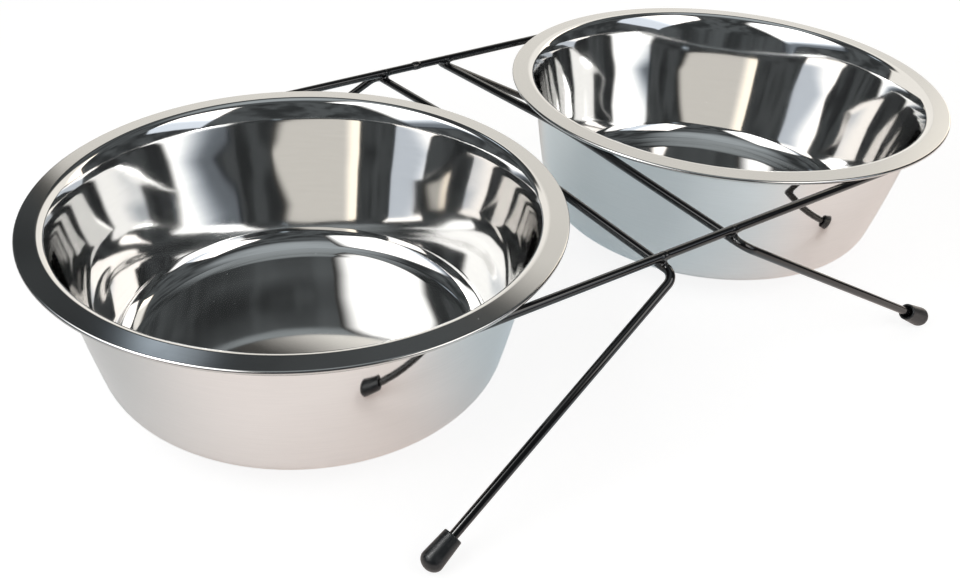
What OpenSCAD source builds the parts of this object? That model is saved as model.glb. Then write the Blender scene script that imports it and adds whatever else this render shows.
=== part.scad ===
// Dog feeder stand: a welded wire frame on four splayed legs that carries two lift-out steel bowls.
// Millimetres, +Z up, +X to the right bowl. The origin is on the floor, midway between the bowls.

/* [Bowls] */
// Outer diameter of the rim
rim_d = 220; // [200:1:240]
// Width of the flat rim, from its outer edge to the rounded mouth
rim_w = 8; // [6:0.5:12]
// How much higher the rim stands at the mouth than at its outer edge
rim_rise = 0.5; // [0:0.1:1.5]
// Overall height of a bowl
bowl_h = 73; // [60:1:78]
// Thickness of the pressed steel sheet
sheet_t = 0.8; // [0.5:0.1:1.2]
// Height of the edge that is folded under the rim
hem_h = 1.8; // [1.6:0.1:2.4]
// Width of the edge that is folded under the rim
hem_w = 3; // [2:0.5:4]
// Radius of the rounded mouth, on the inside
mouth_r = 5.6; // [4:0.1:8]
// Slope of the wall at its top, in degrees from the vertical
top_slope = 11.5; // [6:0.5:13]
// Slope of the wall at its foot, in degrees from the vertical
foot_slope = 15; // [14:0.5:20]
// Radius of the rounded corner between wall and floor, on the inside
corner_r = 7; // [4:0.5:15]
// Distance between the axes of the two bowls
bowl_pitch = 247; // [244:1:280]

/* [Frame] */
// Diameter of the coated wire
wire_d = 3.8; // [3:0.1:4.6]
// Height of the rails above the floor, at their centreline
rail_h = 78.5; // [75:0.5:110]
// Side play between the wire ring and the folded edge of a rim
seat_play = 1.2; // [0.5:0.1:2.5]
// Gap between a rim and the rails that it rests on
seat_gap = 0.3; // [0.2:0.1:0.5]
// Radius of the rounded crown in the middle of a cross wire
crown_r = 600; // [400:10:1000]
// Distance from a rail's centreline to the start of the bend into a leg
bend_start = 2.6; // [2:0.1:8]
// Radius of the bend into a leg, at the centreline
bend_r = 6; // [4:0.5:12]
// How far a foot stands to the side of its cross wire
leg_side = 122; // [80:1:140]
// How far a foot stands outside its rail
leg_out = 25.5; // [12:0.5:50]

/* [Welds] */
// Gap between two wires where they cross, filled by the weld
weld_gap = 0.3; // [0.2:0.05:0.6]
// Diameter of the weld at a crossing
weld_d = 5.4; // [4.8:0.1:7]
// Gap between the two ends of the rail wire, filled by the butt weld
butt_gap = 0.8; // [0.4:0.1:2]
// Length of the butt weld along the rail
butt_l = 5; // [3:0.5:8]
// Height of the butt weld's swelling above the wire
butt_swell = 0.35; // [0.2:0.05:0.8]
// Length of the taper at each end of the butt weld
butt_taper = 1.2; // [0.5:0.1:1.4]
// Height of the edge where that taper ends on the wire
butt_edge = 0.1; // [0.05:0.05:0.2]

/* [Caps] */
// Diameter of a rubber cap at its widest
cap_d = 9.2; // [8:0.1:12]
// Diameter of a cap at its mouth
cap_mouth_d = 7.8; // [7:0.1:10]
// Length of a cap, from its mouth to the centre of its round end
cap_l = 11.5; // [8:0.5:16]
// Length of the round end beyond that centre
cap_end = 3.9; // [3:0.1:4]
// Thickness of rubber past the end of the wire
cap_floor = 3; // [2:0.1:5]
// Depth of the flared recess round the wire in the mouth
recess_h = 1.5; // [0.5:0.1:3]
// Width of that recess on each side of the wire
recess_w = 1.2; // [0.5:0.1:1.5]
// How deep the round end is cut flat where it stands on the floor
sole_cut = 0.4; // [0.2:0.1:1]

/* [Hidden] */
$fn = 96;

// Number of straight steps in a rounded stretch of an outline
arc_steps = 10;
wire_r = wire_d / 2;
axis_x = bowl_pitch / 2;

// The wire ring sits just inside the folded edge of the rim
rim_r = rim_d / 2;
hem_in_r = rim_r - hem_w;
seat_r = hem_in_r - seat_play - wire_r;
cross_x = axis_x - seat_r;

// Heights from the rails up to the rim, and down to the bowl's underside
hem_z = rail_h + wire_r + seat_gap;
edge_r = hem_h / 2;
rim_z = hem_z + hem_h;
mouth_z = rim_z + rim_rise;
base_z = mouth_z - bowl_h;
floor_z = base_z + sheet_t;

// The wall of a bowl is one long arc that touches the rounded mouth and the rounded corner
mouth_edge_r = rim_r - rim_w;
mouth_centre = [mouth_edge_r, mouth_z - mouth_r];
wall_top = mouth_centre - mouth_r * [cos(top_slope), -sin(top_slope)];
wall_h = wall_top[1] - floor_z - corner_r * (1 - sin(foot_slope));
wall_r = wall_h / (sin(foot_slope) - sin(top_slope));
wall_centre = wall_top - wall_r * [cos(top_slope), -sin(top_slope)];
corner_centre = wall_centre + (wall_r - corner_r) * [cos(foot_slope), -sin(foot_slope)];

// A cross wire passes under the rails and rises to their level in its middle
cross_rise = wire_d + weld_gap;
cross_z = rail_h - cross_rise;
crown_z = rail_h - crown_r;
crown_a = asin(crown_r / norm([seat_r, crown_r - cross_rise])) - atan2(crown_r - cross_rise, seat_r);
run_l = (seat_r + bend_start - crown_r * sin(crown_a)) / cos(crown_a);

// Back right foot, seen from the start of the bend: along the run, above it and to its side
foot = [cross_x + leg_side, seat_r + leg_out, cap_d / 2 - sole_cut];
bend_from = [cross_x, seat_r + bend_start, cross_z - bend_start * tan(crown_a)];
to_foot = foot - bend_from;
foot_along = to_foot * [0, cos(crown_a), -sin(crown_a)];
foot_above = to_foot * [0, sin(crown_a), cos(crown_a)];

// The wire rolls towards the foot, bends, and runs straight to the centre of the foot's round end
roll_a = atan2(-leg_side, foot_above);
foot_across = norm([leg_side, foot_above]) - bend_r;
foot_reach = norm([foot_along, foot_across]);
bend_a = atan2(foot_across, foot_along) + asin(bend_r / foot_reach);
leg_reach = sqrt(pow(foot_reach, 2) - pow(bend_r, 2));
leg_l = leg_reach + cap_end - cap_floor;

// Points of an arc about a centre, from one angle to another, with or without its end points
function arc(centre, r, from, to, ends = true) = [
    for (i = [ends ? 0 : 1 : ends ? arc_steps : arc_steps - 1])
        let (a = from + (to - from) * i / arc_steps)
        centre + r * [cos(a), sin(a)]
];

// Height of the rim's upper face at a radius
function rim_top(r) = mouth_z - rim_rise * (r - mouth_edge_r) / (rim_r - edge_r - mouth_edge_r);

// Wires are drawn back right, and mirrored to the left or to the front
module quarter(right, back) {
    mirror([right ? 0 : 1, 0, 0])
        mirror([0, back ? 0 : 1, 0])
            children();
}

// Straight piece of wire along the X axis of a rail
module rail_rod(from, to, y) {
    translate([from, y, rail_h])
        rotate([0, 90, 0])
            cylinder(h = to - from, r = wire_r);
}

// Wire bent about the Z axis
module wire_arc(r, a) {
    rotate_extrude(angle = a)
        translate([r, 0])
            circle(r = wire_r);
}

// End of a cross wire's crown, where the wire runs on along -Y and X points up
module run_frame() {
    translate([cross_x, 0, crown_z])
        rotate([90, 0, 90])
            rotate([0, 0, 90 - crown_a])
                translate([crown_r, 0, 0])
                    children();
}

// Centre of the bend into a leg, with the bend's start on X
module bend_frame() {
    run_frame()
        translate([0, -run_l, 0])
            rotate([0, roll_a, 0])
                translate([bend_r, 0, 0])
                    rotate([0, 0, 180])
                        children();
}

// End of the bend, with Z along the leg
module leg_frame() {
    bend_frame()
        rotate([0, 0, bend_a])
            translate([bend_r, 0, 0])
                rotate([-90, 0, 0])
                    children();
}

// Half of a cross wire's crown, drawn past the middle of the stand and cut off square there
module crown_half() {
    intersection() {
        run_frame()
            translate([-crown_r, 0, 0])
                wire_arc(crown_r, 2 * crown_a);
        translate([cross_x - wire_d, 0, rail_h - seat_r])
            cube([2 * wire_d, seat_r, 2 * seat_r]);
    }
}

// Straight run of a cross wire, from its crown to the bend, passing under a rail
module run() {
    run_frame()
        rotate([90, 0, 0])
            cylinder(h = run_l, r = wire_r);
}

// Straight leg, down to its end inside the cap
module leg() {
    leg_frame()
        cylinder(h = leg_l, r = wire_r);
}

// One pressed bowl about its own axis: inside face from the rim down, then outside face from the base up
module bowl(x) {
    hem_centre = [rim_r - edge_r, hem_z + edge_r];
    color("silver")
        translate([x, 0, 0])
            rotate_extrude()
                polygon(concat(
                    arc(hem_centre, edge_r, -90, 90),
                    arc(mouth_centre, mouth_r, 90, 180 - top_slope),
                    arc(wall_centre, wall_r, -top_slope, -foot_slope, ends = false),
                    arc(corner_centre, corner_r, -foot_slope, -90),
                    [[0, floor_z], [0, base_z]],
                    arc(corner_centre, corner_r + sheet_t, -90, -foot_slope),
                    arc(wall_centre, wall_r + sheet_t, -foot_slope, -top_slope, ends = false),
                    arc(mouth_centre, mouth_r - sheet_t, 180 - top_slope, 90),
                    [[hem_in_r, rim_top(hem_in_r) - sheet_t], [hem_in_r, hem_z]]
                ));
}

module bowl_left() {
    bowl(-axis_x);
}

module bowl_right() {
    bowl(axis_x);
}

// One wire bent to a long loop, its two ends meeting in the middle of the back rail
module rail_loop() {
    color([0.03, 0.03, 0.03]) {
        rail_rod(-axis_x, axis_x, -seat_r);
        back_rods();
        for (side = [-1, 1])
            translate([side * axis_x, 0, rail_h])
                rotate([0, 0, -90 * side])
                    wire_arc(seat_r, 180);
    }
}

// The two halves of the back rail
module back_rods() {
    rail_rod(-axis_x, -butt_gap / 2, seat_r);
    rail_rod(butt_gap / 2, axis_x, seat_r);
}

// Butt weld that closes the loop, a slight swelling round both ends of the wire
module rail_weld() {
    color([0.05, 0.05, 0.05])
        difference() {
            translate([0, seat_r, rail_h])
                rotate([0, 90, 0])
                    rotate_extrude()
                        polygon([
                            [0, -butt_l / 2],
                            [wire_r + butt_edge, -butt_l / 2],
                            [wire_r + butt_swell, butt_taper - butt_l / 2],
                            [wire_r + butt_swell, butt_l / 2 - butt_taper],
                            [wire_r + butt_edge, butt_l / 2],
                            [0, butt_l / 2]
                        ]);
            back_rods();
        }
}

// One wire makes two legs and the arched cross piece between them
module cross_wire(right) {
    color([0.03, 0.03, 0.03])
        for (back = [false, true])
            quarter(right, back) {
                crown_half();
                run();
                bend_frame()
                    wire_arc(bend_r, bend_a);
                leg();
            }
}

module cross_wire_left() {
    cross_wire(false);
}

module cross_wire_right() {
    cross_wire(true);
}

// Weld metal that fills the notch where a cross wire passes under a rail
module crossing_weld(right, back) {
    color([0.05, 0.05, 0.05])
        quarter(right, back)
            difference() {
                translate([cross_x, seat_r, rail_h - cross_rise / 2])
                    sphere(d = weld_d);
                rail_rod(0, axis_x, seat_r);
                run();
            }
}

module weld_front_left() {
    crossing_weld(false, false);
}

module weld_front_right() {
    crossing_weld(true, false);
}

module weld_back_left() {
    crossing_weld(false, true);
}

module weld_back_right() {
    crossing_weld(true, true);
}

// Rubber cap pushed over the end of a leg, with a blind bore, a flared mouth and a flat sole
module cap(right, back) {
    end_a = asin(cap_end / (cap_d / 2));
    sole_w = 2 * cap_d;
    color([0.08, 0.09, 0.1])
        quarter(right, back)
            difference() {
                leg_frame()
                    translate([0, 0, leg_reach])
                        rotate_extrude()
                            polygon(concat(
                                [[0, -cap_l], [cap_mouth_d / 2, -cap_l]],
                                arc([0, 0], cap_d / 2, 0, end_a),
                                [[0, cap_end]]
                            ));
                leg_frame()
                    translate([0, 0, leg_reach - cap_l])
                        cylinder(h = recess_h, r1 = wire_r + recess_w, r2 = wire_r);
                leg();
                translate([foot[0] - sole_w / 2, foot[1] - sole_w / 2, -sole_w])
                    cube(sole_w);
            }
}

module cap_front_left() {
    cap(false, false);
}

module cap_front_right() {
    cap(true, false);
}

module cap_back_left() {
    cap(false, true);
}

module cap_back_right() {
    cap(true, true);
}

bowl_left();
bowl_right();
rail_loop();
rail_weld();
cross_wire_left();
cross_wire_right();
weld_front_left();
weld_front_right();
weld_back_left();
weld_back_right();
cap_front_left();
cap_front_right();
cap_back_left();
cap_back_right();
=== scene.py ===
"""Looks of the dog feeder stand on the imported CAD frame.

Polished bowls, coated wires, weld beads and rubber caps stand in for the CAD's solids.
"""

import math

import bmesh
import bpy
from mathutils import Matrix, Vector, noise


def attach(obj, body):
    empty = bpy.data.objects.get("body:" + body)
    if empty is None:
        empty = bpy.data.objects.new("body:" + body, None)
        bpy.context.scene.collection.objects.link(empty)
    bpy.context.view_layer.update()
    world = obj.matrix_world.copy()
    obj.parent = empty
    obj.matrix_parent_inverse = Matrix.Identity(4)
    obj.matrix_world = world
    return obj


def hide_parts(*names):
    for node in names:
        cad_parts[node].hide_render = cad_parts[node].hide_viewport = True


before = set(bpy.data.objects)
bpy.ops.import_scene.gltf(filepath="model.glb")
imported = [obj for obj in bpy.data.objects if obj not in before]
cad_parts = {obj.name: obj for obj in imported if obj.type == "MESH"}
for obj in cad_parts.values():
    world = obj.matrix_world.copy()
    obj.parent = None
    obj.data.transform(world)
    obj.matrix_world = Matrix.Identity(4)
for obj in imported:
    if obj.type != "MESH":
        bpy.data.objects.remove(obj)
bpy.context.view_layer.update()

MM = 0.001

# Points that are closer to each other, or to the axis, than this count as one
SAME_PLACE = 1e-7

# Bowl: main sizes of the CAD source
AXIS_X = 123.5 * MM
RIM_R = 110 * MM
HEM_IN_R = 107 * MM
HEM_Z = 80.7 * MM
EDGE_R = 0.9 * MM
MOUTH_EDGE_R = 102 * MM
MOUTH_Z = 83 * MM
FLOOR_Z = 10.8 * MM
BASE_Z = 10 * MM
SHEET_T = 0.8 * MM
FOLD_GAP = 0.2 * MM

# Bowl: curves read from the photograph's outlines and reflections
MOUTH_R = 3.5 * MM
CORNER_R = 12.3 * MM
OUT_CORNER_R = 14 * MM

# Slope of the wall in degrees from the vertical at heights in mm, inside and outside
MOUTH_SLOPE = 25.6
IN_SLOPES = ((81, MOUTH_SLOPE), (74, 12.8), (62, 12.7), (50, 11.8), (32, 14.8))
OUT_SLOPES = (
    (80.7, MOUTH_SLOPE), (76, 15), (70, 8), (60, 8.4),
    (50, 9.6), (40, 10.9), (30, 12), (20, 13.2),
)

# Wire frame
WIRE_R = 1.9 * MM
RAIL_Z = 78.5 * MM
SEAT_R = 103.9 * MM
CROSS_X = AXIS_X - SEAT_R
CROSS_RISE = 4.1 * MM
CROWN_R = 600 * MM
BEND_START = 2.6 * MM
BEND_R = 6 * MM

# Weld that closes the rail, and the beads at the crossings
BUTT_GAP = 0.8 * MM
BUTT_L = 5 * MM
BUTT_SWELL = 0.35 * MM
BUTT_SINK = 0.02 * MM
BUTT_LUMPS = 0.06
BUTT_LUMP_SCALE = 700
BEAD_REACH = 4.4 * MM
BEAD_SWELL = 0.3 * MM
BEAD_TAPER = 1.2
BEAD_FILLET = 1.5 * MM
BEAD_RIPPLE = 0.14 * MM
BEAD_RIPPLE_SCALE = 900

# Rubber caps
CAP_R = 4.6 * MM
CAP_MOUTH_R = 3.9 * MM
CAP_L = 11.5 * MM
CAP_END = 3.9 * MM
CAP_FLOOR = 3 * MM
CAP_LIP_R = 0.45 * MM
RECESS_W = 1.2 * MM
RECESS_H = 1.5 * MM
BORE_PLAY = 0.02 * MM
FOOT = Vector((CROSS_X + 122 * MM, SEAT_R + 25.5 * MM, 4.2 * MM))

# Fineness of the bowls' meshes
BOWL_STEPS = 216
FLOOR_STEPS = 8
CORNER_STEPS = 20
WALL_STEPS = 48
MOUTH_STEPS = 20
OUT_MOUTH_STEPS = 14
RIM_STEPS = 6
HEM_STEPS = 16
HEM_FLAT_STEPS = 3
LIP_STEPS = 10
FOLD_STEPS = 6

# Fineness of the stand's meshes
WIRE_SIDES = 40
RING_STEPS = 96
RAIL_STEPS = 24
CROWN_STEPS = 16
RUN_STEPS = 12
BEND_STEPS = 24
LEG_STEPS = 16
BUTT_STEPS = 48
BEAD_LEVELS = 5
BEAD_HALVINGS = 24
CAP_STEPS = 72
CAP_END_STEPS = 28
CAP_SIDE_STEPS = 14
CAP_LIP_STEPS = 8
CAP_FLAT_STEPS = 2
RECESS_STEPS = 6
BORE_STEPS = 4

# Colours: linear red, green and blue, and alpha
WHITE = (1, 1, 1, 1)
STEEL_DULL = (0.675, 0.672, 0.665, 1)
STEEL_BRIGHT = (0.725, 0.722, 0.715, 1)
STEEL_RIM = (0.52, 0.518, 0.51, 1)
COATING_BLACK = (0.003, 0.003, 0.0035, 1)
RUBBER_CLEAN = (0.009, 0.011, 0.013, 1)
RUBBER_DUSTY = (0.02, 0.022, 0.025, 1)
# Tints of the floor's glow that metal mirrors: painted cool shade between the bowls, painted warm light
# elsewhere
FLOOR_SHADE_COOL = (0.65, 0.88, 1.0, 1)
FLOOR_LIGHT_WARM = (1.0, 0.79, 0.7, 1)
ROOM_COLOUR = (0.88, 0.96, 1.0, 1)

# Steel: where the satin rim starts and is full, what each mark adds to the roughness, and depths of relief
RIM_START = 101 * MM
RIM_FULL = 102.5 * MM
POLISH_ROUGH = 0.035
RIM_ROUGH = 0.09
SMUDGE_ROUGH = 0.03
MARK_ROUGH = 0.02
SPECK_ROUGH = 0.35
MARK_DEPTH = 0.0016 * MM
WAVE_DEPTH = 0.05 * MM

# Coating and rubber: roughness from the smoothest to the roughest patches, and depths of relief
COATING_ROUGH = (0.04, 0.09)
COATING_SPECULAR = 0.65
PEEL_DEPTH = 0.004 * MM
RUBBER_ROUGH = 0.33
DUST_ROUGH = 0.12
GRAIN_DEPTH = 0.02 * MM

# Floor: half its side, what it reflects for light and for the camera, and its own glow, which for metal
# paints cool shade between the bowls and warm light ahead, fading to almost none behind
FLOOR_SIDE = 6
FLOOR_ALBEDO = 0.88
FLOOR_SEEN_ALBEDO = 0.25
NEAR_GLOW = 0.85
FAR_GLOW = 1.0
BETWEEN_GLOW = 0.3
AHEAD_GLOW = 0.38
BEHIND_GLOW = 0.02

# Dim room round the studio's boards: its radiance, what its ceiling adds straight above, and its height,
# which is also half its width
ROOM_LEVEL = 0.08
OVERHEAD_LEVEL = 0.4
ROOM_SIDE = 2.6

# Strength of the white sky where it is seen, and for the rays that carry light
SKY_SEEN = 1.0
SKY_LIGHT = 0.2

# Camera at the photograph's place, with its azimuth, elevation and roll in degrees
CAMERA_PLACE = (-0.2851, -0.3328, 0.2927)
CAMERA_ANGLES = (-34.91, 34.4, 2.03)
CAMERA_SENSOR = 36
CAMERA_LENS = 38.74
CAMERA_SHIFT = (0.0433, -0.0028)
CAMERA_NEAR = 0.01


def line(start, end, steps):
    """Points of a straight stretch of an outline, each with the normal on the left of its direction."""
    (r0, z0), (r1, z1) = start, end
    length = math.hypot(r1 - r0, z1 - z0)
    normal = ((z0 - z1) / length, (r1 - r0) / length)
    return [((r0 + (r1 - r0) * i / steps, z0 + (z1 - z0) * i / steps), normal) for i in range(steps + 1)]


def arc(centre, radii, start, end, steps):
    """Points of a round stretch of an outline between two angles in degrees, with the normal on the left."""
    side = -1 if end > start else 1
    points = []
    for i in range(steps + 1):
        a = math.radians(start + (end - start) * i / steps)
        point = (centre[0] + radii[0] * math.cos(a), centre[1] + radii[1] * math.sin(a))
        normal = Vector((math.cos(a) / radii[0], math.sin(a) / radii[1])).normalized() * side
        points.append((point, tuple(normal)))
    return points


def join(*stretches):
    """One outline out of several stretches that meet end to start."""
    outline = []
    for stretch in stretches:
        for point, normal in stretch:
            if not outline or math.dist(point, outline[-1][0]) > SAME_PLACE:
                outline.append((point, normal))
    return outline


def turned_over(stretch):
    """The same stretch run the other way, with its normals on the other side."""
    return [(point, (-nr, -nz)) for point, (nr, nz) in reversed(stretch)]


def link_mesh(name, mesh):
    """Smooth-shaded object of a mesh, in the scene."""
    mesh.shade_smooth()
    obj = bpy.data.objects.new(name, mesh)
    bpy.context.scene.collection.objects.link(obj)
    return obj


def new_object(name, verts, faces, normals=None):
    """Object out of vertices and faces; given normals keep reflections free of facets."""
    mesh = bpy.data.meshes.new(name)
    mesh.from_pydata(verts, [], faces)
    obj = link_mesh(name, mesh)
    if normals:
        mesh.normals_split_custom_set_from_vertices(normals)
    return obj


def lathe(outline, steps):
    """Vertices, faces and normals of an outline turned about the Z axis."""
    verts, normals, rings, faces = [], [], [], []
    for (r, z), (nr, nz) in outline:
        count = steps if r > SAME_PLACE else 1
        rings.append([len(verts) + k for k in range(count)])
        for k in range(count):
            a = 2 * math.pi * k / steps
            verts.append(Vector((r * math.cos(a), r * math.sin(a), z)))
            normals.append(Vector((nr * math.cos(a), nr * math.sin(a), nz)))
    for first, second in zip(rings, rings[1:]):
        for k in range(steps):
            corners = [(first, k), (second, k), (second, k + 1), (first, k + 1)]
            face = [ring[i % len(ring)] for ring, i in corners]
            faces.append(list(dict.fromkeys(face)))
    return verts, faces, normals


def slope_at(z, slopes):
    """Slope of a wall at a height, in radians, between the listed heights."""
    height = z / MM
    for (high, start), (low, end) in zip(slopes, slopes[1:]):
        if height > low:
            return math.radians(start + (end - start) * min(max((high - height) / (high - low), 0), 1))
    return math.radians(slopes[-1][1])


def wall_down(start, slopes, corner_r, floor_z):
    """Wall from the mouth down to the corner's arc and the floor's edge, its normals pointing outwards."""
    foot = math.radians(slopes[-1][1])
    (r, z), end_z = start, floor_z + corner_r * (1 - math.sin(foot))
    drop = (z - end_z) / WALL_STEPS
    wall = []
    for _ in range(WALL_STEPS + 1):
        slope = slope_at(z, slopes)
        wall.append(((r, z), (math.cos(slope), -math.sin(slope))))
        r -= drop * math.tan(slope_at(z - drop / 2, slopes))
        z -= drop
    (r, z), _ = wall[-1]
    centre = (r - corner_r * math.cos(foot), z + corner_r * math.sin(foot))
    corner = turned_over(arc(centre, (corner_r, corner_r), -90, -slopes[-1][1], CORNER_STEPS))
    return join(wall, corner)


def bowl_outline():
    """Inside from the floor's centre up to the rim, round the folded edge, and the outside back down."""
    mouth = Vector((MOUTH_EDGE_R, MOUTH_Z - MOUTH_R))
    edge = Vector((RIM_R - EDGE_R, HEM_Z + EDGE_R))
    fold = (RIM_R - EDGE_R, HEM_Z + SHEET_T + FOLD_GAP / 2)
    lip = (HEM_IN_R + SHEET_T / 2, HEM_Z + SHEET_T / 2)

    # The flat of the rim touches the mouth's arc and the edge's arc at one common angle
    reach = edge - mouth
    flat = math.degrees(math.atan2(reach.y, reach.x) + math.acos((MOUTH_R - EDGE_R) / reach.length))

    def bend(centre, r, start, end, steps):
        return arc(centre, (r, r), start, end, steps)

    def link(before, after, steps):
        return line(before[-1][0], after[0][0], steps)

    in_mouth = bend(mouth, MOUTH_R, 180 - MOUTH_SLOPE, flat, MOUTH_STEPS)
    in_wall = turned_over(wall_down(in_mouth[0][0], IN_SLOPES, CORNER_R, FLOOR_Z))
    hem = bend(edge, EDGE_R, flat, -90, HEM_STEPS)
    hem_end = bend(lip, SHEET_T / 2, -90, -270, LIP_STEPS)
    fold_end = bend(fold, FOLD_GAP / 2, -90, 90, FOLD_STEPS)
    out_mouth = bend(mouth, MOUTH_R - SHEET_T, flat, 180 - MOUTH_SLOPE, OUT_MOUTH_STEPS)
    out_wall = wall_down(out_mouth[-1][0], OUT_SLOPES, OUT_CORNER_R, BASE_Z)
    return join(
        line((0, FLOOR_Z), in_wall[0][0], FLOOR_STEPS), in_wall,
        in_mouth, link(in_mouth, hem, RIM_STEPS),
        hem, link(hem, hem_end, HEM_FLAT_STEPS),
        hem_end, link(hem_end, fold_end, HEM_FLAT_STEPS),
        fold_end, link(fold_end, out_mouth, RIM_STEPS),
        out_mouth, out_wall, line(out_wall[-1][0], (0, BASE_Z), FLOOR_STEPS),
    )


def make_bowl(name, x):
    """Bowl turned about an upright axis at a place along X."""
    obj = new_object(name, *lathe(bowl_outline(), BOWL_STEPS))
    obj.location.x = x
    return obj


def sweep(name, path):
    """Round wire along a path of points, closed by a flat face at each end."""
    verts, normals, faces = [], [], []
    last = len(path) - 1
    tangents = [(path[min(i + 1, last)] - path[max(i - 1, 0)]).normalized() for i in range(last + 1)]
    side = tangents[0].orthogonal().normalized()
    for i, point in enumerate(path):
        if i:
            side.rotate(tangents[i - 1].rotation_difference(tangents[i]))
        across = tangents[i].cross(side)
        for k in range(WIRE_SIDES):
            a = 2 * math.pi * k / WIRE_SIDES
            normal = side * math.cos(a) + across * math.sin(a)
            verts.append(point + normal * WIRE_R)
            normals.append(normal)
    for i in range(last):
        for k in range(WIRE_SIDES):
            n = (k + 1) % WIRE_SIDES
            a, b = i * WIRE_SIDES, (i + 1) * WIRE_SIDES
            faces.append((a + k, a + n, b + n, b + k))
    for start, flip in ((0, True), (last * WIRE_SIDES, False)):
        ring = list(range(start, start + WIRE_SIDES))
        faces.append(ring[::-1] if flip else ring)
    return new_object(name, verts, faces, normals)


def straight(start, end, steps):
    """Points of a straight stretch of a path."""
    return [start.lerp(end, i / steps) for i in range(steps + 1)]


def chain(*stretches):
    """One path out of several stretches that meet end to start."""
    path = []
    for stretch in stretches:
        path += [p for p in stretch if not path or (p - path[-1]).length > SAME_PLACE]
    return path


def rail_path():
    """From the middle of the back rail round the right end, along the front rail, and round the left end."""
    def end_ring(x, start, turn):
        angles = [math.radians(start + turn * i / RING_STEPS) for i in range(RING_STEPS + 1)]
        return [Vector((x + SEAT_R * math.cos(a), SEAT_R * math.sin(a), RAIL_Z)) for a in angles]

    right = end_ring(AXIS_X, 90, -180)
    left = end_ring(-AXIS_X, -90, -180)
    return chain(
        straight(Vector((BUTT_GAP / 2, SEAT_R, RAIL_Z)), right[0], RAIL_STEPS // 2), right,
        straight(right[-1], left[0], RAIL_STEPS), left,
        straight(left[-1], Vector((-BUTT_GAP / 2, SEAT_R, RAIL_Z)), RAIL_STEPS // 2),
    )


def cross_quarter():
    """Back right quarter of a cross wire, from its crown down to the centre of the foot's round end."""
    low = CROWN_R - CROSS_RISE
    crown_a = math.asin(CROWN_R / math.hypot(SEAT_R, low)) - math.atan2(low, SEAT_R)
    along = Vector((0, math.cos(crown_a), -math.sin(crown_a)))
    crown_centre = Vector((CROSS_X, 0, RAIL_Z - CROWN_R))
    angles = [crown_a * i / CROWN_STEPS for i in range(CROWN_STEPS + 1)]
    crown = [crown_centre + CROWN_R * Vector((0, math.sin(a), math.cos(a))) for a in angles]
    run_end = crown[-1] + along * ((SEAT_R + BEND_START - crown[-1].y) / along.y)

    to_foot = FOOT - run_end
    inward = (to_foot - to_foot.dot(along) * along).normalized()
    reach = Vector((to_foot.dot(along), to_foot.dot(inward) - BEND_R))
    bend_a = math.atan2(reach.y, reach.x) + math.asin(BEND_R / reach.length)
    bend_centre = run_end + inward * BEND_R
    angles = [bend_a * i / BEND_STEPS for i in range(BEND_STEPS + 1)]
    bend = [bend_centre + BEND_R * (along * math.sin(a) - inward * math.cos(a)) for a in angles]
    run = straight(crown[-1], run_end, RUN_STEPS)
    return chain(crown, run, bend, straight(bend[-1], FOOT, LEG_STEPS))


def quarter(right, back):
    """Mirrors a back right place to one of the four quarters."""
    return Matrix.Diagonal((1 if right else -1, 1 if back else -1, 1, 1))


def leg_axis():
    """Direction of the back right leg, down along the wire."""
    path = cross_quarter()
    return (path[-1] - path[-2]).normalized()


def make_cross_wire(name, right):
    """Cross wire with both its legs, each ending at the floor of its cap's bore."""
    path = cross_quarter()
    path[-1] = FOOT + leg_axis() * (CAP_END - CAP_FLOOR)
    front = [quarter(right, False) @ p for p in reversed(path)]
    back = [quarter(right, True) @ p for p in path]
    return sweep(name, chain(front, back))


def crossing_field(point, centre, along):
    """Negative inside the two wires and the fillet of weld metal between them, swollen near the crossing."""
    offset = point - centre
    swell = BEAD_SWELL * (1 - BEAD_TAPER * (offset.length / BEAD_REACH) ** 2)
    swell += BEAD_RIPPLE * noise.noise(point * BEAD_RIPPLE_SCALE)
    rail = offset - Vector((0, 0, CROSS_RISE / 2))
    run = offset + Vector((0, 0, CROSS_RISE / 2))
    to_rail = math.hypot(rail.y, rail.z) - WIRE_R - swell
    to_run = (run - run.dot(along) * along).length - WIRE_R - swell
    blend = max(0, 1 - abs(to_rail - to_run) / BEAD_FILLET)
    return min(to_rail, to_run) - blend * blend * BEAD_FILLET / 4


def make_bead(name, right, back):
    """Weld bead where a cross wire passes under a rail: the fillet's skin, found outwards from its centre."""
    place = quarter(right, back)
    centre = place @ Vector((CROSS_X, SEAT_R, RAIL_Z - CROSS_RISE / 2))
    slope = CROSS_RISE / SEAT_R
    along = place @ Vector((0, 1, -slope)).normalized()
    ball = bmesh.new()
    bmesh.ops.create_icosphere(ball, subdivisions=BEAD_LEVELS, radius=1)
    for vert in ball.verts:
        inside, outside = 0, BEAD_REACH
        if crossing_field(centre + vert.co * outside, centre, along) > 0:
            for _ in range(BEAD_HALVINGS):
                middle = (inside + outside) / 2
                if crossing_field(centre + vert.co * middle, centre, along) > 0:
                    outside = middle
                else:
                    inside = middle
        vert.co = centre + vert.co * outside
    mesh = bpy.data.meshes.new(name)
    ball.to_mesh(mesh)
    ball.free()
    return link_mesh(name, mesh)


def make_butt_weld(name):
    """Slightly uneven swelling round the two ends of the rail wire."""
    outline = [((0, -BUTT_L / 2), (0, -1))]
    for i in range(BUTT_STEPS + 1):
        t = 2 * i / BUTT_STEPS - 1
        outline.append(((WIRE_R + BUTT_SWELL * (1 - t * t) - BUTT_SINK, t * BUTT_L / 2), (1, 0)))
    outline.append(((0, BUTT_L / 2), (0, 1)))
    verts, faces, _ = lathe(outline[::-1], WIRE_SIDES)
    turned = Matrix.Translation((0, SEAT_R, RAIL_Z)) @ Matrix.Rotation(math.pi / 2, 4, "Y")
    for vert in verts:
        radial = Vector((vert.x, vert.y, 0))
        vert += radial * BUTT_LUMPS * noise.noise(vert * BUTT_LUMP_SCALE)
    return new_object(name, [turned @ v for v in verts], faces)


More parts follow.
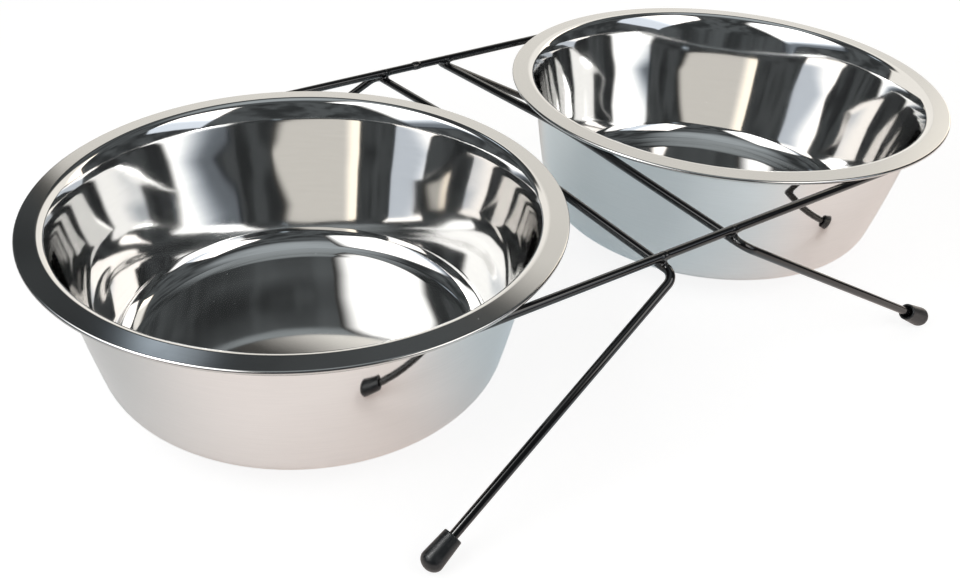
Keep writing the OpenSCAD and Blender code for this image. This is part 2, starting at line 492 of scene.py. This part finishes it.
def cap_outline():
    """From the tip over the round end and the side to the mouth, then down the recess and the bore."""
    lip = (CAP_MOUTH_R - CAP_LIP_R, CAP_LIP_R - CAP_L)
    bore_r = WIRE_R + BORE_PLAY
    recess = (WIRE_R + RECESS_W, -CAP_L)
    neck = (bore_r, RECESS_H - CAP_L)
    bore_end = CAP_END - CAP_FLOOR + BORE_PLAY
    return join(
        arc((0, 0), (CAP_R, CAP_END), 90, 0, CAP_END_STEPS),
        line((CAP_R, 0), (CAP_MOUTH_R, lip[1]), CAP_SIDE_STEPS),
        arc(lip, (CAP_LIP_R, CAP_LIP_R), 0, -90, CAP_LIP_STEPS),
        line((lip[0], -CAP_L), recess, CAP_FLAT_STEPS),
        line(recess, neck, RECESS_STEPS),
        line(neck, (bore_r, bore_end), BORE_STEPS),
        line((bore_r, bore_end), (0, bore_end), CAP_FLAT_STEPS),
    )


def make_cap(name, right, back):
    """Rubber cap on the end of a leg, its round end flattened where it stands on the floor."""
    verts, faces, _ = lathe(cap_outline(), CAP_STEPS)
    turned = leg_axis().to_track_quat("Z", "Y").to_matrix().to_4x4()
    place = quarter(right, back) @ Matrix.Translation(FOOT) @ turned
    placed = [place @ v for v in verts]
    for vert in placed:
        vert.z = max(vert.z, 0)
    if right != back:
        faces = [face[::-1] for face in faces]
    return new_object(name, placed, faces)


class Shader:
    """Short way to add and link the nodes of one material."""

    def __init__(self, tree):
        self.tree = tree

    def add(self, kind, inputs=(), **settings):
        """Node with its settings, and with each input linked to a socket or set to a value."""
        node = self.tree.nodes.new("ShaderNode" + kind)
        for key, value in settings.items():
            setattr(node, key, value)
        for key, value in dict(inputs).items():
            if isinstance(value, bpy.types.NodeSocket):
                self.tree.links.new(value, node.inputs[key])
            else:
                node.inputs[key].default_value = value
        return node

    def math(self, operation, a, b=0.0, c=0.0):
        return self.add("Math", {0: a, 1: b, 2: c}, operation=operation).outputs[0]

    def length(self, vector):
        return self.add("VectorMath", {0: vector}, operation="LENGTH").outputs["Value"]

    def map(self, value, low, high, to_low, to_high):
        """Smooth step from one value to another between two limits."""
        inputs = {"Value": value, "From Min": low, "From Max": high, "To Min": to_low, "To Max": to_high}
        return self.add("MapRange", inputs, interpolation_type="SMOOTHSTEP").outputs["Result"]

    def mix(self, factor, first, second):
        """Colour between two colours."""
        inputs = {"Factor": factor, "A": first, "B": second}
        return self.add("Mix", inputs, data_type="RGBA").outputs["Result"]

    def noise(self, vector, scale, detail=2.0, roughness=0.5):
        inputs = {"Vector": vector, "Scale": scale, "Detail": detail, "Roughness": roughness}
        return self.add("TexNoise", inputs).outputs["Fac"]

    def bump(self, height, distance, normal=None):
        """Normal of a relief with the given depth, on top of another one where that is given."""
        inputs = {"Height": height, "Distance": distance, "Strength": 1.0}
        if normal:
            inputs["Normal"] = normal
        return self.add("Bump", inputs).outputs["Normal"]

    def place(self, kind):
        """Texture coordinates of one kind."""
        return self.add("TexCoord").outputs[kind]

    def axes(self, vector):
        """The X, Y and Z of a vector."""
        return self.add("SeparateXYZ", {0: vector}).outputs


def new_material(name):
    """Empty node material, its Shader and its output node."""
    material = bpy.data.materials.new(name)
    material.use_nodes = True
    material.node_tree.nodes.clear()
    shader = Shader(material.node_tree)
    return material, shader, shader.add("OutputMaterial")


def steel_material():
    """Mirror-polished stainless steel: faint turning marks, soft waves, specks, and a satin rim."""
    material, s, out = new_material("polished_steel")
    place = s.place("Object")
    xyz = s.axes(place)
    radius = s.length(s.add("CombineXYZ", {"X": xyz["X"], "Y": xyz["Y"]}).outputs[0])
    angle = s.math("ARCTAN2", xyz["Y"], xyz["X"])

    # Marks run long round the axis and fine across it
    round_about = s.math("MULTIPLY", angle, 0.004)
    turned = s.add("CombineXYZ", {"X": radius, "Y": xyz["Z"], "Z": round_about}).outputs[0]
    marks = s.noise(turned, 1500, 3.0, 0.6)
    waves = s.noise(place, 32, 1.0)
    smudges = s.map(s.noise(place, 24, 4.0, 0.6), 0.45, 0.75, 0.0, 1.0)
    rim = s.map(radius, RIM_START, RIM_FULL, 0.0, 1.0)
    cells = s.add("TexVoronoi", {"Vector": place, "Scale": 90.0, "Randomness": 1.0}).outputs["Distance"]
    specks = s.map(cells, 0.012, 0.02, 1.0, 0.0)

    satin = s.math("MULTIPLY_ADD", rim, RIM_ROUGH, POLISH_ROUGH)
    hazy = s.math("MULTIPLY_ADD", smudges, SMUDGE_ROUGH, satin)
    marked = s.math("MULTIPLY_ADD", marks, MARK_ROUGH, hazy)
    steel = s.add("BsdfPrincipled", {
        "Base Color": s.mix(rim, s.mix(marks, STEEL_DULL, STEEL_BRIGHT), STEEL_RIM),
        "Metallic": 1.0,
        "Roughness": s.math("MULTIPLY_ADD", specks, SPECK_ROUGH, marked),
        "Normal": s.bump(marks, MARK_DEPTH, s.bump(waves, WAVE_DEPTH)),
    })
    s.tree.links.new(steel.outputs[0], out.inputs["Surface"])
    return material


def coating_material():
    """Gloss black coating with a faint orange-peel skin."""
    material, s, out = new_material("black_coating")
    place = s.place("Object")
    peel = s.noise(place, 700, 2.0)
    patches = s.noise(place, 60, 3.0)
    coat = s.add("BsdfPrincipled", {
        "Base Color": COATING_BLACK,
        "Roughness": s.map(patches, 0.3, 0.7, *COATING_ROUGH),
        "Specular IOR Level": COATING_SPECULAR,
        "Normal": s.bump(peel, PEEL_DEPTH),
    })
    s.tree.links.new(coat.outputs[0], out.inputs["Surface"])
    return material


def rubber_material():
    """Charcoal rubber with a fine moulded grain and dusty patches."""
    material, s, out = new_material("cap_rubber")
    place = s.place("Object")
    grain = s.noise(place, 2600, 3.0, 0.6)
    dust = s.map(s.noise(place, 260, 4.0, 0.6), 0.5, 0.75, 0.0, 1.0)
    rubber = s.add("BsdfPrincipled", {
        "Base Color": s.mix(dust, RUBBER_CLEAN, RUBBER_DUSTY),
        "Roughness": s.math("MULTIPLY_ADD", dust, DUST_ROUGH, RUBBER_ROUGH),
        "Normal": s.bump(grain, GRAIN_DEPTH),
    })
    s.tree.links.new(rubber.outputs[0], out.inputs["Surface"])
    return material


def dress(obj, material, body, slot, *nodes):
    """Gives a piece its material, its body and the CAD nodes that it stands for."""
    obj.data.materials.append(material)
    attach(obj, body)
    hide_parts(*nodes)


def make_feeder():
    """All fourteen pieces, each in place of the CAD node of its name."""
    steel, coating, rubber = steel_material(), coating_material(), rubber_material()
    for side, sign in (("left", -1), ("right", 1)):
        name = "bowl_" + side
        dress(make_bowl("polished_" + name, sign * AXIS_X), steel, name, "bowl_steel", name)
        name = "cross_wire_" + side
        dress(make_cross_wire("coated_" + name, sign > 0), coating, "stand", "coated_wire", name)
        for end in ("front", "back"):
            spot = (sign > 0, end == "back")
            name = f"weld_{end}_{side}"
            dress(make_bead("bead_" + name, *spot), coating, "stand", "coated_wire", name)
            name = f"cap_{end}_{side}"
            dress(make_cap("rubber_" + name, *spot), rubber, "stand", "cap_rubber", name)
    dress(sweep("coated_rail_loop", rail_path()), coating, "stand", "coated_wire", "rail_loop")
    dress(make_butt_weld("bead_rail_weld"), coating, "stand", "coated_wire", "rail_weld")


def shown_to_camera_and_metal(s):
    """1 for rays from the camera, from gloss and through glass, 0 for the rays that carry light."""
    path = s.add("LightPath")
    glossy = s.math("MAXIMUM", path.outputs["Is Camera Ray"], path.outputs["Is Glossy Ray"])
    return s.math("MAXIMUM", glossy, path.outputs["Is Transmission Ray"])


def make_floor():
    """White floor that stays white in the picture and keeps a soft shadow under the object; for metal its
    glow paints light and shade on it.
    """
    side = FLOOR_SIDE
    corners = [(-side, -side, 0), (side, -side, 0), (side, side, 0), (-side, side, 0)]
    floor = new_object("floor", corners, [(0, 1, 2, 3)])
    material, s, out = new_material("white_floor")
    camera = s.add("LightPath").outputs["Is Camera Ray"]
    spot = s.place("Object")
    place = s.axes(spot)

    # Painted light and shade that metal mirrors: the floor's glow is a cool painted shade between the bowls,
    # and elsewhere a warm painted light, bright ahead and almost none behind
    ahead = s.map(place["Y"], -0.1, 0.02, AHEAD_GLOW, BEHIND_GLOW)
    apart = s.map(s.math("ABSOLUTE", place["X"]), 0.03, 0.13, 0.0, 1.0)
    painted_level_for_metal = s.map(apart, 0.0, 1.0, BETWEEN_GLOW, ahead)
    shade = s.mix(camera, s.mix(apart, FLOOR_SHADE_COOL, FLOOR_LIGHT_WARM), WHITE)

    in_picture = s.map(s.length(spot), 0.4, 1.6, NEAR_GLOW, FAR_GLOW)
    level = s.map(camera, 0.0, 1.0, painted_level_for_metal, in_picture)
    strength = s.math("MULTIPLY", shown_to_camera_and_metal(s), level)
    albedo = s.math("MULTIPLY_ADD", camera, FLOOR_SEEN_ALBEDO - FLOOR_ALBEDO, FLOOR_ALBEDO)
    colour = s.add("CombineColor", {0: albedo, 1: albedo, 2: albedo}).outputs[0]
    lit = s.add("BsdfDiffuse", {"Color": colour})
    # For metal this glow is painted light and shade on the floor; for the camera it keeps the floor white
    glow = s.add("Emission", {"Color": shade, "Strength": strength})
    both = s.add("AddShader", {0: lit.outputs[0], 1: glow.outputs[0]})
    s.tree.links.new(both.outputs[0], out.inputs["Surface"])
    floor.data.materials.append(material)


def make_board(name, corners, colours, strengths, growth, fades, core=None):
    """Glowing studio board, seen by metal but not by the camera.

    Its colour and strength change along the board's own X or Y between the two places in growth, and it
    fades to the room's own level over the given parts of its left, right, bottom and top. A core is a
    place on the board, a radius and the strength that the lamp behind it adds there for gloss alone.
    """
    board = new_object(name, corners, [(0, 1, 2, 3)])
    uv = board.data.uv_layers.new(name="across").data
    for loop, place in zip(uv, ((0, 0), (1, 0), (1, 1), (0, 1))):
        loop.uv = place
    material, s, out = new_material(name)
    across = s.place("UV")
    place = s.axes(across)
    axis, start, end = growth
    grown = s.map(place[axis], start, end, 0.0, 1.0)
    colour = s.mix(grown, (*colours[0], 1), (*colours[1], 1))
    glow = s.math("MULTIPLY_ADD", grown, strengths[1] - strengths[0], strengths[0])
    for axis, edge, fade in zip("XXYY", (0, 1, 0, 1), fades):
        if fade:
            glow = s.math("MULTIPLY", glow, s.map(place[axis], edge, abs(edge - fade), 0.0, 1.0))
    if core:
        centre, radius, lamp = core
        away = s.add("VectorMath", {0: across, 1: (*centre, 0)}, operation="DISTANCE").outputs["Value"]
        glossy = s.add("LightPath").outputs["Is Glossy Ray"]
        glow = s.math("MULTIPLY_ADD", glossy, s.map(away, 0.0, radius, lamp, 0.0), glow)
    light = s.add("Emission", {"Color": colour, "Strength": s.math("MAXIMUM", glow, ROOM_LEVEL)})
    s.tree.links.new(light.outputs[0], out.inputs["Surface"])
    board.data.materials.append(material)
    board.visible_camera = False


def upright(start, end, height, rise):
    """Corners of an upright board over two places on the floor, its level edges rising to the second one."""
    return [(*start, -rise), (*end, 0.0), (*end, height), (*start, height - rise)]


def facing(azimuth, elevation, distance, width, height, roll):
    """Corners of a tilted board that faces the object from a direction; azimuth 0 is +Y, and 90 is +X."""
    a, e, r = (math.radians(angle) for angle in (azimuth, elevation, roll))
    out = Vector((math.sin(a) * math.cos(e), math.cos(a) * math.cos(e), math.sin(e)))
    level = Vector((math.cos(a), -math.sin(a), 0))
    above = level.cross(out)
    across = (level * math.cos(r) + above * math.sin(r)) * width / 2
    up = (above * math.cos(r) - level * math.sin(r)) * height / 2
    centre = out * distance
    return [centre - across - up, centre + across - up, centre + across + up, centre - across + up]


def make_boards():
    """The four boards that the steel mirrors."""
    make_board(
        "back_board",
        upright((-0.118, 0.824), (1.51, 0.033), height=1.34, rise=0.88),
        colours=((1.0, 0.965, 0.9), (1.0, 0.9, 0.76)),
        strengths=(1.15, 2.5),
        growth=("X", 0.63, 0.84),
        fades=(0.03, 0.02, 0.0, 0.08),
    )
    make_board(
        "left_softbox",
        facing(-84.2, 41.4, distance=0.729, width=0.765, height=0.733, roll=32.6),
        colours=((0.78, 0.88, 1.0), (1.0, 1.0, 0.99)),
        strengths=(0.3, 2.6),
        growth=("Y", 0.08, 0.32),
        fades=(0.12, 0.12, 0.05, 0.15),
        core=((0.62, 0.62), 0.2, 20),
    )
    make_board(
        "right_card",
        facing(161, 36.4, distance=0.558, width=0.389, height=0.391, roll=-29.7),
        colours=((0.84, 0.91, 1.0), (1.0, 0.96, 0.92)),
        strengths=(1.2, 2.8),
        growth=("Y", 0.28, 0.55),
        fades=(0.06, 0.06, 0.05, 0.05),
    )
    make_board(
        "small_softbox",
        facing(-0.5, 48, distance=1.2, width=0.2, height=0.19, roll=0),
        colours=((0.75, 0.88, 1.0), (0.8, 0.9, 1.0)),
        strengths=(1.2, 1.2),
        growth=("X", 0.0, 1.0),
        fades=(0.4, 0.4, 0.4, 0.4),
    )


def make_room():
    """Dim, patchy room round the boards that only metal sees, a little brighter overhead."""
    side = ROOM_SIDE
    floor_plan = ((-side, -side), (side, -side), (side, side), (-side, side))
    room = new_object(
        "dim_room",
        [(x, y, z) for z in (0.0, side) for x, y in floor_plan],
        [(4, 5, 6, 7), (0, 1, 5, 4), (1, 2, 6, 5), (2, 3, 7, 6), (3, 0, 4, 7)],
    )
    material, s, out = new_material("dim_wall")
    place = s.place("Object")
    patches = s.noise(place, 1.4, 2.0)
    direction = s.add("VectorMath", {0: place}, operation="NORMALIZE").outputs["Vector"]
    overhead = s.map(s.axes(direction)["Z"], 0.86, 0.99, 0.0, OVERHEAD_LEVEL)
    level = s.math("ADD", overhead, s.map(patches, 0.35, 0.65, 0.6 * ROOM_LEVEL, 1.6 * ROOM_LEVEL))
    wall = s.add("Emission", {"Color": ROOM_COLOUR, "Strength": level})
    s.tree.links.new(wall.outputs[0], out.inputs["Surface"])
    room.data.materials.append(material)
    room.visible_camera = False
    room.visible_diffuse = False
    room.visible_shadow = False


def make_sky():
    """White sky behind the object in the picture, which also gives a faint even light."""
    world = bpy.data.worlds.new("white_sky")
    bpy.context.scene.world = world
    world.use_nodes = True
    world.node_tree.nodes.clear()
    s = Shader(world.node_tree)
    strength = s.math("MULTIPLY_ADD", shown_to_camera_and_metal(s), SKY_SEEN - SKY_LIGHT, SKY_LIGHT)
    sky = s.add("Background", {"Color": WHITE, "Strength": strength})
    s.tree.links.new(sky.outputs[0], s.add("OutputWorld").inputs["Surface"])


def make_camera():
    """Camera at the photograph's place and angle, for an image of 960 by 580."""
    azimuth, elevation, roll = (math.radians(a) for a in CAMERA_ANGLES)
    back = Vector((
        math.sin(azimuth) * math.cos(elevation),
        -math.cos(azimuth) * math.cos(elevation),
        math.sin(elevation),
    ))
    level = Vector((math.cos(azimuth), math.sin(azimuth), 0))
    above = back.cross(level)
    right = level * math.cos(roll) + above * math.sin(roll)
    up = above * math.cos(roll) - level * math.sin(roll)
    data = bpy.data.cameras.new("camera")
    data.sensor_width = CAMERA_SENSOR
    data.lens = CAMERA_LENS
    data.shift_x, data.shift_y = CAMERA_SHIFT
    data.clip_start = CAMERA_NEAR
    camera = bpy.data.objects.new("camera", data)
    bpy.context.scene.collection.objects.link(camera)
    turned = Matrix((right, up, back)).transposed().to_4x4()
    camera.matrix_world = Matrix.Translation(CAMERA_PLACE) @ turned
    bpy.context.scene.camera = camera


make_feeder()
make_floor()
make_boards()
make_room()
make_sky()
make_camera()
bpy.context.scene.view_settings.view_transform = "Standard"
bpy.context.scene.cycles.glossy_bounces = 8
